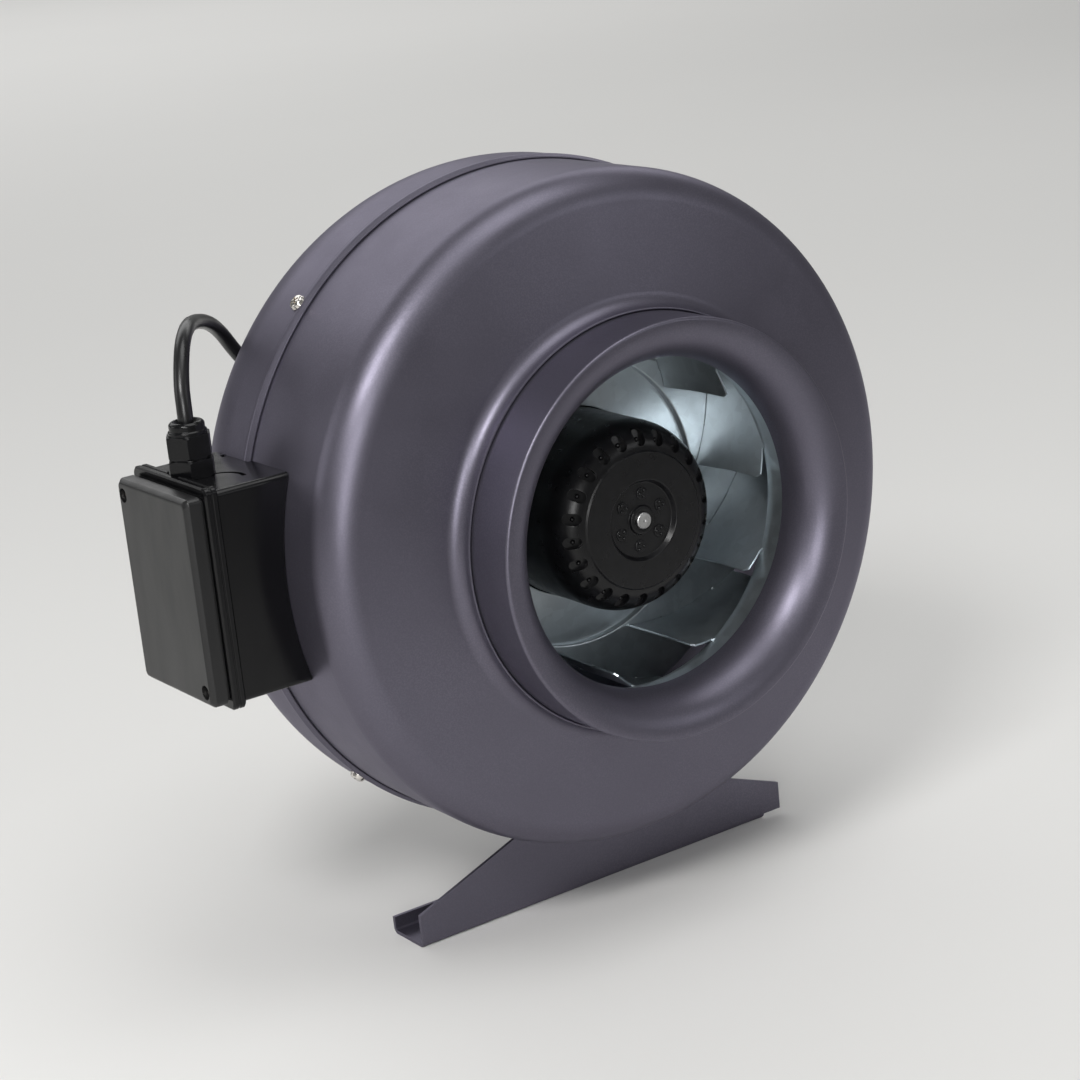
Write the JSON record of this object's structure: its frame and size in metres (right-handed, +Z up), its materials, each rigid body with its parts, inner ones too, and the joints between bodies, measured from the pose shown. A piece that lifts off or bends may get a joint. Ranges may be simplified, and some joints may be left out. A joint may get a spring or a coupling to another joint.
{
  "type": "inline duct fan",
  "caption": "Metal inline duct fan with round spigots, an external rotor motor and centrifugal impeller, a side terminal box and a sheet foot.",
  "frame": {"origin": "centre of the foot's underside, under the fan's axis", "axes": "+Z up, +Y along the air flow from inlet to outlet, +X to the right seen from the inlet; the terminal box is on the -X side"},
  "size_m": [0.3725, 0.236, 0.3633],
  "materials": {
    "powder_coat": "satin powder coat with fine orange peel",
    "black_plastic": "semi-gloss moulded black",
    "lid_plastic": "satin moulded dark grey",
    "black_enamel": "satin black motor enamel",
    "galvanised_steel": "galvanised sheet",
    "nickel_steel": "nickel plated",
    "cast_aluminium": "as cast",
    "laminations": "stacked electrical steel",
    "copper_wire": "enamelled copper wire",
    "ground_steel": "ground bearing steel",
    "black_rubber": "satin black",
    "grey_plastic": "moulded light grey"
  },
  "bodies": {
    "casing": {"inlet_shell": "powder_coat", "outlet_shell": "powder_coat", "case_screw_1": "nickel_steel", "case_screw_2": "nickel_steel", "case_screw_3": "nickel_steel", "case_screw_4": "nickel_steel", "inlet_cone": "powder_coat", "foot_bracket": "powder_coat", "foot_screw_left": "nickel_steel", "foot_nut_left": "nickel_steel", "foot_screw_right": "nickel_steel", "foot_nut_right": "nickel_steel", "motor_support": "galvanised_steel", "support_screw_1": "nickel_steel", "support_screw_2": "nickel_steel", "support_screw_3": "nickel_steel", "support_screw_4": "nickel_steel", "stator_flange": "cast_aluminium", "stator_core": "laminations", "stator_winding": "copper_wire", "front_bearing_outer_race": "ground_steel", "rear_bearing_outer_race": "ground_steel", "terminal_box_base": "black_plastic", "terminal_box_lid": "lid_plastic", "lid_screw_upper": "nickel_steel", "lid_screw_lower": "nickel_steel", "lid_gasket": "black_rubber", "box_screw_front": "nickel_steel", "box_screw_rear": "nickel_steel", "run_capacitor": "grey_plastic", "terminal_block": "grey_plastic", "gland_body": "black_plastic", "gland_nut": "black_plastic", "gland_locknut": "black_plastic", "gland_seal": "black_rubber", "shell_grommet": "black_rubber", "motor_lead": "black_rubber"},
    "rotor": {"rotor_can": "black_enamel", "rotor_core": "laminations", "motor_shaft": "ground_steel", "front_bearing_inner_race": "ground_steel", "rear_bearing_inner_race": "ground_steel", "impeller_back_plate": "galvanised_steel", "impeller_shroud": "galvanised_steel", "hub_rivet_1": "nickel_steel", "hub_rivet_2": "nickel_steel", "hub_rivet_3": "nickel_steel", "hub_rivet_4": "nickel_steel", "impeller_blade_01": "galvanised_steel", "impeller_blade_02": "galvanised_steel", "impeller_blade_03": "galvanised_steel", "impeller_blade_04": "galvanised_steel", "impeller_blade_05": "galvanised_steel", "impeller_blade_06": "galvanised_steel", "impeller_blade_07": "galvanised_steel", "impeller_blade_08": "galvanised_steel", "impeller_blade_09": "galvanised_steel", "impeller_blade_10": "galvanised_steel"},
    "front_balls": {"front_bearing_cage": "ground_steel"},
    "rear_balls": {"rear_bearing_cage": "ground_steel"}
  },
  "joints": [
    {"name": "rotor_spin", "type": "hinge", "parent": "casing", "child": "rotor", "pos_m": [0, 0, 0.199], "axis": [0, 1, 0], "continuous": true},
    {"name": "front_balls_spin", "type": "hinge", "parent": "casing", "child": "front_balls", "pos_m": [0, -0.0491, 0.199], "axis": [0, 1, 0], "continuous": true},
    {"name": "rear_balls_spin", "type": "hinge", "parent": "casing", "child": "rear_balls", "pos_m": [0, -0.0051, 0.199], "axis": [0, 1, 0], "continuous": true}
  ],
  "couplings": [
    {"joint": "front_balls_spin", "follows": "rotor_spin", "ratio": 0.398},
    {"joint": "rear_balls_spin", "follows": "rotor_spin", "ratio": 0.398}
  ]
}
